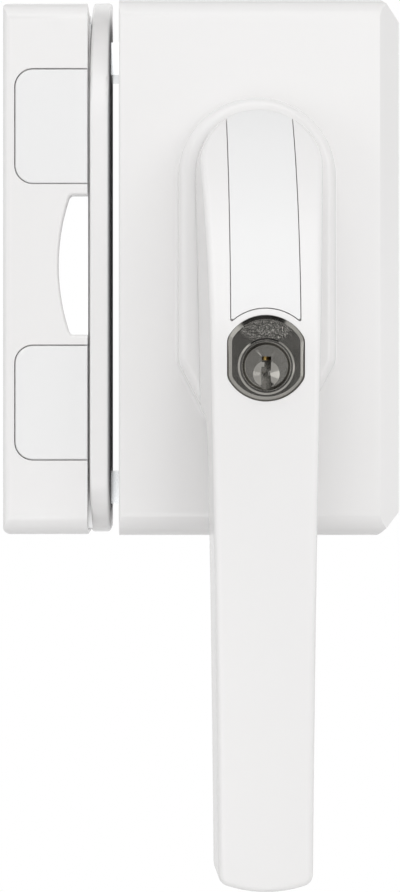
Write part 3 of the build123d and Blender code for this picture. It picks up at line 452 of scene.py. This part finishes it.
@dataclass(frozen=True)
class CylinderPlate(WorkedMetal):
    """Dark nickel plate on the key cylinder.

    It gives the eye a dark mirror between light rims, with a pitted field above the plug and a duller plug.
    The pits are drawn coarse enough to show.
    """

    patches: tuple[Patch, ...] = (
        Patch((0.0, -37.7), (6.6, 2.9), 0.15, 0.6),
        Patch((0.0, -45.3), (5.6, 5.6), 0.2, 0.2),
    )
    pit_mm: float = 0.4
    pit_depth_mm: float = 0.06
    front_facing: tuple[float, float] = (-0.95, -0.999)
    soft_edge: tuple[float, float] = (1.0, 0.7)

    def make(self) -> bpy.types.Material:
        """Builds the material.

        Returns:
            The material.
        """
        material = super().make()
        tree = material.node_tree
        shader = next(n for n in tree.nodes if n.type == "BSDF_PRINCIPLED")
        roughness = shader.inputs["Roughness"].links[0].from_socket
        normal = shader.inputs["Normal"].links[0].from_socket
        place = add_node(tree, "ShaderNodeTexCoord")
        facing = add_node(tree, "ShaderNodeNewGeometry")
        facing = add_node(tree, "ShaderNodeSeparateXYZ", links={0: facing.outputs["True Normal"]})
        away, towards = self.front_facing
        front = add_node(
            tree, "ShaderNodeMapRange", settings=SMOOTH_STEP, values={"From Min": away, "From Max": towards},
            links={"Value": facing.outputs["Y"]},
        )
        grit = add_node(
            tree, "ShaderNodeTexNoise", values={"Scale": 1 / (self.pit_mm * MM), "Detail": 1.0},
            links={"Vector": place.outputs["Object"]},
        )
        for patch in self.patches:
            amount = self.oval(tree, place.outputs["Object"], front.outputs["Result"], patch)
            pits = add_node(
                tree, "ShaderNodeMath", settings=MULTIPLY, values={1: patch.pits}, links={0: amount},
            )
            bump = add_node(
                tree, "ShaderNodeBump", values={"Distance": self.pit_depth_mm * MM},
                links={"Strength": pits.outputs[0], "Height": grit.outputs["Fac"], "Normal": normal},
            )
            dulled = add_node(
                tree, "ShaderNodeMix", settings=MIX_NUMBERS,
                values={MixInput.SECOND_NUMBER: patch.roughness},
                links={MixInput.AMOUNT: amount, MixInput.FIRST_NUMBER: roughness},
            )
            normal = bump.outputs["Normal"]
            roughness = dulled.outputs[MixOutput.NUMBER]
        tree.links.new(roughness, shader.inputs["Roughness"])
        tree.links.new(normal, shader.inputs["Normal"])
        return material

    def oval(
        self,
        tree: bpy.types.NodeTree,
        place: bpy.types.NodeSocket,
        front: bpy.types.NodeSocket,
        patch: Patch,
    ) -> bpy.types.NodeSocket:
        """Finds how far a point of the front face is inside a patch.

        Args:
            tree: The material's node tree.
            place: Object coordinates.
            front: 1 on faces that look at the room.
            patch: The patch.

        Returns:
            A socket that is 1 inside and 0 outside, with a soft edge.
        """
        (x, z), (half_x, half_z) = patch.middle_mm, patch.half_mm
        from_middle = add_node(
            tree, "ShaderNodeVectorMath", settings={"operation": "SUBTRACT"},
            values={1: (x * MM, 0.0, z * MM)}, links={0: place},
        )
        scaled = add_node(
            tree, "ShaderNodeVectorMath", settings=MULTIPLY,
            values={1: (1 / (half_x * MM), 0.0, 1 / (half_z * MM))}, links={0: from_middle.outputs[0]},
        )
        distance = add_node(
            tree, "ShaderNodeVectorMath", settings={"operation": "LENGTH"}, links={0: scaled.outputs[0]},
        )
        outer, inner = self.soft_edge
        inside = add_node(
            tree, "ShaderNodeMapRange", settings=SMOOTH_STEP, values={"From Min": outer, "From Max": inner},
            links={"Value": distance.outputs["Value"]},
        )
        joined = add_node(
            tree, "ShaderNodeMath", settings=MULTIPLY, links={0: front, 1: inside.outputs["Result"]},
        )
        return joined.outputs[0]


@dataclass
class Finishes:
    """Every finish of the lock, made once and handed out by slot."""

    gap_pieces: tuple[str, ...] = ("keeper_front_plate",)
    made: dict[Slot, bpy.types.Material] = field(default_factory=dict)
    # The coat with painted shade, for the plate in the gap
    painted_shade: bpy.types.Material | None = None

    def build(self) -> None:
        """Makes one material for each slot, and the coat with painted shade for the plate that stands in the
        gap.
        """
        # The coat with painted shade on the flank that faces the case, grey and dull, which reads as a deep
        # line in the narrow gap
        self.painted_shade = PowderCoat(
            "gap_shaded_powder_coat", gap_shade_tone="8A8A8C", gap_ends_mm=((49.0, 34.0), (-84.0, -70.0)),
        ).make()
        self.made = {
            # Clean white with soft highlights
            Slot.COAT: PowderCoat().make(),
            # The same white without the coat's gloss
            Slot.PLASTIC: Moulding("white_moulding", "F1F1F1").make(),
            # Cool pale grey with a cloudy sheen
            Slot.ZINC: WorkedMetal("zinc_plated_steel", "C9CDD0", "B4B7B8", 0.34).make(),
            # Near white and bright, so the bolts are light in the gap
            Slot.GROUND: WorkedMetal("ground_steel", "E8E9EA", "DCDEE0", 0.18).make(),
            # Warm dark grey that mirrors the dark card
            Slot.NICKEL: CylinderPlate("dark_nickel_plate", "A3A19C", "84827D", 0.15).make(),
            # Muted yellow, as brass is when it is no longer new
            Slot.BRASS: WorkedMetal("turned_brass", "A8905C", "937B4A", 0.24).make(),
            # Dull mid grey of drawn wire
            Slot.SPRING: WorkedMetal("spring_steel", "8E8F92", "707174", 0.3).make(),
            # Milky off-white with a waxy surface
            Slot.ACETAL: Moulding("acetal", "E6E6E3", 0.4).make(),
        }

    def dress(self, piece: bpy.types.Object, slot: Slot) -> None:
        """Gives a piece one finish.

        Args:
            piece: The piece or CAD node.
            slot: Its slot in the record.
        """
        piece.data.materials.clear()
        # The plate in the gap gets the coat with painted shade on its flank
        piece.data.materials.append(self.painted_shade if piece.name in self.gap_pieces else self.made[slot])


@dataclass
class EdgeFinish:
    """Clean shading and a fine round on a piece's edges, as casting, moulding and deburring leave them."""

    sharp_degrees: float = 32.0
    join_mm: float = 0.002
    segments: int = 3
    area_weight: int = 60
    group: bpy.types.NodeTree | None = None

    def build(self) -> None:
        """Makes the node group that joins a mesh's faces and marks its sharp edges."""
        group = bpy.data.node_groups.new("clean_shading", "GeometryNodeTree")
        group.interface.new_socket("Geometry", in_out="INPUT", socket_type="NodeSocketGeometry")
        group.interface.new_socket("Geometry", in_out="OUTPUT", socket_type="NodeSocketGeometry")
        start = add_node(group, "NodeGroupInput")
        plain = add_node(
            group, "GeometryNodeRemoveAttribute", values={"Name": "custom_normal"},
            links={"Geometry": start.outputs[0]},
        )
        joined = add_node(
            group, "GeometryNodeMergeByDistance", values={"Distance": self.join_mm * MM},
            links={"Geometry": plain.outputs[0]},
        )
        smooth = add_node(
            group, "GeometryNodeSetShadeSmooth", settings={"domain": "FACE"}, links={0: joined.outputs[0]},
        )
        angle = add_node(group, "GeometryNodeInputMeshEdgeAngle")
        gentle = add_node(
            group, "FunctionNodeCompare", settings={"data_type": "FLOAT", "operation": "LESS_EQUAL"},
            values={1: math.radians(self.sharp_degrees)}, links={0: angle.outputs[0]},
        )
        marked = add_node(
            group, "GeometryNodeSetShadeSmooth", settings={"domain": "EDGE"},
            links={0: smooth.outputs[0], 2: gentle.outputs[0]},
        )
        add_node(group, "NodeGroupOutput", links={0: marked.outputs[0]})
        self.group = group

    def apply(self, piece: bpy.types.Object, round_mm: float = 0.0) -> None:
        """Cleans a piece's shading and rounds its sharp edges.

        Args:
            piece: The piece or CAD node.
            round_mm: Width of the round, or 0 for none.
        """
        clean = piece.modifiers.new("clean_shading", "NODES")
        clean.node_group = self.group
        if round_mm > 0:
            bevel = piece.modifiers.new("edge_round", "BEVEL")
            bevel.width = round_mm * MM
            bevel.segments = self.segments
            bevel.limit_method = "ANGLE"
            bevel.angle_limit = math.radians(self.sharp_degrees)
            bevel.miter_outer = "MITER_ARC"
        normal = piece.modifiers.new("flat_faces_first", "WEIGHTED_NORMAL")
        normal.keep_sharp = True
        normal.weight = self.area_weight


@dataclass
class Workshop:
    """The frame's CAD nodes with their slots, and what dresses them."""

    nodes: dict[str, bpy.types.Object]
    slots: dict[str, Slot]
    finishes: Finishes = field(default_factory=Finishes)
    edges: EdgeFinish = field(default_factory=EdgeFinish)
    waiting: set[str] = field(default_factory=set)

    def open(self) -> None:
        """Makes the finishes, and notes which nodes wait for one."""
        self.finishes.build()
        self.edges.build()
        self.waiting = set(self.nodes)

    def dress(self, node: str, round_mm: float) -> None:
        """Gives a CAD node its finish and its edges.

        Args:
            node: The node's name.
            round_mm: Width of the round on its edges.
        """
        self.finishes.dress(self.nodes[node], self.slots[node])
        self.edges.apply(self.nodes[node], round_mm)
        self.waiting.remove(node)
        LOG.info("%s: %s, edges %.2f mm", node, self.slots[node].value, round_mm)

    def close(self) -> None:
        """Stops the script if a node was left as it came."""
        if self.waiting:
            raise ValueError(f"nodes without a finish: {sorted(self.waiting)}")


def deburred(*nodes: str) -> dict[str, float]:
    """Lists nodes whose edges are only deburred, with that round."""
    return dict.fromkeys(nodes, DEBURR_MM)


@dataclass
class SubAssembly:
    """CAD nodes that are dressed together, each with the width of the round on its edges."""

    rounds_mm: dict[str, float] = field(default_factory=dict)

    def build(self, shop: Workshop) -> None:
        """Dresses the nodes.

        Args:
            shop: Where the nodes and their finishes are.
        """
        for node, round_mm in self.rounds_mm.items():
            shop.dress(node, round_mm)


@dataclass
class LockCase(SubAssembly):
    """Cast case with its raised seat, what fixes it to the sash, and the bush that the handle turns in."""

    rounds_mm: dict[str, float] = field(default_factory=lambda: {
        "lock_case": 0.3,
        **deburred("lock_base_plate", "case_screws", "handle_bush"),
    })


@dataclass
class BoltDrive(SubAssembly):
    """Bolts with their carriage, rack and guides, and what the handle turns to move them."""

    rounds_mm: dict[str, float] = field(default_factory=lambda: deburred(
        "upper_bolt", "lower_bolt", "bolt_carriage", "bolt_rack", "bolt_rivets", "upper_bolt_guide",
        "lower_bolt_guide", "guide_posts", "bearing_plate", "bearing_screws", "spindle", "drive_pinion",
        "drive_sleeve", "retaining_clip",
    ))


@dataclass
class Detent(SubAssembly):
    """Notched disc, and the ball that a spring presses into it."""

    rounds_mm: dict[str, float] = field(default_factory=lambda: deburred(
        "detent_disc", "detent_ball", "detent_spring", "detent_holder", "detent_plug",
    ))


@dataclass
class LeverHandle(SubAssembly):
    """Cast lever with the cover strip let into its neck, and the screw that holds it."""

    rounds_mm: dict[str, float] = field(default_factory=lambda: {
        "handle_body": 0.35,
        "handle_cover_strip": 0.5,
        **deburred("handle_screw"),
    })


@dataclass
class KeyCylinder(SubAssembly):
    """Key cylinder with its plug, pins and screws, and the pin that it drives into the case."""

    rounds_mm: dict[str, float] = field(default_factory=lambda: {
        "cylinder_body": 0.3,
        "cylinder_plug": 0.18,
        **deburred("key_pins", "driver_pins", "pin_springs", "cylinder_screws", "locking_pin"),
    })


@dataclass
class SeamSeal:
    """Soft seal in the seam between the keeper's housing and its front plate, just under their faces.

    Its front is given as heights and depths, from the bottom up. The lowest run flares at its lower end,
    where the plate's corner is rounded away.
    """

    left_mm: float = -39.72
    right_mm: float = -39.38
    thickness_mm: float = 2.0
    flare_mm: float = 0.75
    front_mm: tuple[tuple[float, float], ...] = (
        (-82.3, 26.3), (-73.5, 26.3), (-30.0, 26.35), (0.0, 26.95), (22.0, 26.8), (32.0, 24.3), (43.0, 17.6),
    )

    def build(self, shop: Workshop) -> None:
        """Makes the seal from straight runs, and dresses it.

        Args:
            shop: Where its finish comes from.
        """
        mesh = bmesh.new()
        flare = self.flare_mm
        for low, high in zip(self.front_mm, self.front_mm[1:]):
            self.add_run(mesh, low, high, flare)
            flare = 0.0
        seal = new_object("keeper_seam_seal", mesh)
        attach(seal, "lock_and_keeper")
        shop.finishes.dress(seal, Slot.PLASTIC)
        shop.edges.apply(seal)
        LOG.info("%s: %s, %d runs", seal.name, Slot.PLASTIC.value, len(self.front_mm) - 1)

    def add_run(
        self,
        mesh: bmesh.types.BMesh,
        low: tuple[float, float],
        high: tuple[float, float],
        flare: float,
    ) -> None:
        """Adds one straight run whose front lies between two points.

        Args:
            mesh: The seal's mesh.
            low: Height and depth of the front at the lower end, in mm.
            high: Height and depth of the front at the upper end, in mm.
            flare: How much wider the lower end is, in mm.
        """
        rise, step = high[0] - low[0], high[1] - low[1]
        length = math.hypot(rise, step)
        tilt = Matrix.Rotation(math.atan2(step, rise), 3, "X")
        made = bmesh.ops.create_cube(mesh, size=1.0)["verts"]
        size = ((self.right_mm - self.left_mm) * MM, self.thickness_mm * MM, length * MM)
        bmesh.ops.scale(mesh, verts=made, vec=size)
        outer = [corner for corner in made if corner.co.x > 0.0 and corner.co.z < 0.0]
        bmesh.ops.translate(mesh, verts=outer, vec=(flare * MM, 0.0, 0.0))
        bmesh.ops.translate(mesh, verts=made, vec=(0.0, self.thickness_mm / 2 * MM, 0.0))
        bmesh.ops.rotate(mesh, verts=made, matrix=tilt)
        middle = ((self.left_mm + self.right_mm) / 2, -(low[1] + high[1]) / 2, (low[0] + high[0]) / 2)
        bmesh.ops.translate(mesh, verts=made, vec=tuple(part * MM for part in middle))


@dataclass
class Keeper(SubAssembly):
    """Keeper on the window's frame: housing, front plate, screw covers, blocks and the seal in its seam."""

    rounds_mm: dict[str, float] = field(default_factory=lambda: {
        "keeper_housing": 0.35,
        "keeper_front_plate": 0.25,
        "upper_screw_cover": 0.4,
        "lower_screw_cover": 0.4,
        **deburred("upper_keeper_block", "lower_keeper_block", "keeper_plate_screws", "keeper_base_plate"),
    })
    seal: SeamSeal = field(default_factory=SeamSeal)

    def build(self, shop: Workshop) -> None:
        """Dresses the nodes, and makes the seal.

        Args:
            shop: Where the nodes and their finishes are.
        """
        super().build(shop)
        self.seal.build(shop)


@dataclass(frozen=True)
class SoftBox:
    """Square lamp: its name, where it hangs, the length of its side and its power in watts."""

    name: str
    place: tuple[float, float, float]
    side: float
    watts: float

    def hang(self, aim: tuple[float, float, float]) -> None:
        """Adds the lamp, turned to a point.

        Args:
            aim: What it looks at.
        """
        data = bpy.data.lights.new(self.name, "AREA")
        data.size = self.side
        data.energy = self.watts
        lamp = bpy.data.objects.new(self.name, data)
        lamp.location = self.place
        lamp.rotation_euler = (Vector(aim) - Vector(self.place)).to_track_quat("-Z", "Y").to_euler()
        bpy.context.scene.collection.objects.link(lamp)


@dataclass
class Studio:
    """Camera at the photograph's viewing angle, soft lamps, a pale floor and a white surround."""

    eye: tuple[float, float, float] = (-0.0232, -0.372, -0.0588)
    focal_px: float = 1441.6
    frame_px: tuple[int, int] = (400, 892)
    centre_px: tuple[float, float] = (157.0, 430.0)
    sensor_mm: float = 36.0
    clip: tuple[float, float] = (0.01, 20.0)
    fill: float = 0.46
    aim: tuple[float, float, float] = (0.0, 0.0, -0.03)
    lamps: tuple[SoftBox, ...] = (
        SoftBox("top_box", (-0.05, -1.0, 0.58), 0.7, 1.85),
        SoftBox("over_box", (-0.1, -0.3, 1.0), 0.5, 2.0),
        SoftBox("right_box", (0.49, -0.92, 0.12), 0.62, 2.05),
        SoftBox("low_box", (-0.14, -0.55, -0.26), 0.3, 0.4),
        SoftBox("left_box", (-0.85, -0.45, 0.05), 0.6, 1.0),
        SoftBox("left_edge_box", (-0.66, -0.12, 0.6), 0.34, 0.15),
        SoftBox("right_edge_box", (0.9, -0.16, -0.04), 0.3, 0.5),
    )
    card_tone: str = "0A0A0A"
    card_span: tuple[tuple[float, float], tuple[float, float]] = ((-0.01, 0.17), (-0.1, 0.13))
    card_distance: float = 1.05
    lid_half: float = 0.5
    lid_height: float = 0.8
    floor_tone: str = "DEDEDE"
    floor_half: float = 3.0
    floor_drop: float = 0.35
    matt_roughness: float = 0.9

    def build(self) -> None:
        """Sets up everything that isn't the lock."""
        self.place_camera()
        self.light_world()
        self.place_lamps()
        self.hang_cards()
        self.lay_floor()
        bpy.context.scene.view_settings.view_transform = "Standard"

    def place_camera(self) -> None:
        """Puts the camera where the photograph was taken from."""
        width, height = self.frame_px
        data = bpy.data.cameras.new("camera")
        data.sensor_width = self.sensor_mm
        data.lens = self.focal_px / height * self.sensor_mm
        data.shift_x = (width / 2 - self.centre_px[0]) / height
        data.shift_y = (self.centre_px[1] - height / 2) / height
        data.clip_start, data.clip_end = self.clip
        camera = bpy.data.objects.new("camera", data)
        camera.location = self.eye
        camera.rotation_euler = (math.pi / 2, 0.0, 0.0)
        bpy.context.scene.collection.objects.link(camera)
        bpy.context.scene.camera = camera

    def light_world(self) -> None:
        """Makes a surround that is white where it is seen, and softer where it fills the shadows."""
        world = bpy.data.worlds.new("studio")
        bpy.context.scene.world = world
        world.use_nodes = True
        tree = world.node_tree
        tree.nodes.clear()
        white = srgb("FFFFFF")
        fill = add_node(tree, "ShaderNodeBackground", values={"Color": white, "Strength": self.fill})
        shown = add_node(tree, "ShaderNodeBackground", values={"Color": white, "Strength": 1.0})
        mixed = add_node(
            tree, "ShaderNodeMixShader",
            links={0: seen_rays(tree), 1: fill.outputs[0], 2: shown.outputs[0]},
        )
        add_node(tree, "ShaderNodeOutputWorld", links={"Surface": mixed.outputs[0]})

    def place_lamps(self) -> None:
        """Hangs large boxes above, over, right and left of the lock, and small ones low and at its edges."""
        for lamp in self.lamps:
            lamp.hang(self.aim)

    def hang_cards(self) -> None:
        """Hangs a dark card behind the camera and a dark lid overhead, which only show in polished faces."""
        (left, right), (low, high) = self.card_span
        card = flat_panel(half=0.5)
        bmesh.ops.scale(card, verts=card.verts, vec=(right - left, high - low, 1.0))
        bmesh.ops.rotate(card, verts=card.verts, matrix=Matrix.Rotation(math.pi / 2, 3, "X"))
        middle = ((left + right) / 2, -self.card_distance, (low + high) / 2)
        bmesh.ops.translate(card, verts=card.verts, vec=middle)
        lid = flat_panel(self.lid_half)
        bmesh.ops.translate(lid, verts=lid.verts, vec=(0.0, 0.0, self.lid_height))
        material, _, shader = start_material("black_card")
        shader.inputs["Base Color"].default_value = srgb(self.card_tone)
        shader.inputs["Roughness"].default_value = self.matt_roughness
        for name, mesh in (("dark_card", card), ("dark_lid", lid)):
            hung = new_object(name, mesh)
            hung.data.materials.append(material)
            hung.visible_camera = False
            hung.visible_diffuse = False
            hung.visible_shadow = False
            hung.visible_transmission = False

    def lay_floor(self) -> None:
        """Lays a pale floor well below the lock, white where it is seen."""
        mesh = flat_panel(self.floor_half)
        bmesh.ops.translate(mesh, verts=mesh.verts, vec=(0.0, 0.0, -self.floor_drop))
        floor = new_object("floor", mesh)
        material, tree, shader = start_material("pale_floor")
        shader.inputs["Base Color"].default_value = srgb(self.floor_tone)
        shader.inputs["Roughness"].default_value = self.matt_roughness
        glow = add_node(tree, "ShaderNodeEmission", values={"Color": srgb("FFFFFF"), "Strength": 1.0})
        mixed = add_node(
            tree, "ShaderNodeMixShader",
            links={0: seen_rays(tree), 1: shader.outputs[0], 2: glow.outputs[0]},
        )
        out = next(n for n in tree.nodes if n.type == "OUTPUT_MATERIAL")
        tree.links.new(mixed.outputs[0], out.inputs["Surface"])
        floor.data.materials.append(material)


def main() -> None:
    """Builds the lock's looks round the frame."""
    logging.basicConfig(level=logging.INFO, format="%(message)s")
    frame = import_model()
    slots = {part["node"]: Slot(part["material_slot"]) for part in frame["record"]["subparts"]}
    shop = Workshop(frame["nodes"], slots)
    shop.open()
    for part in (LockCase(), BoltDrive(), Detent(), LeverHandle(), KeyCylinder(), Keeper()):
        part.build(shop)
    shop.close()
    Studio().build()


if __name__ == "__main__":
    main()
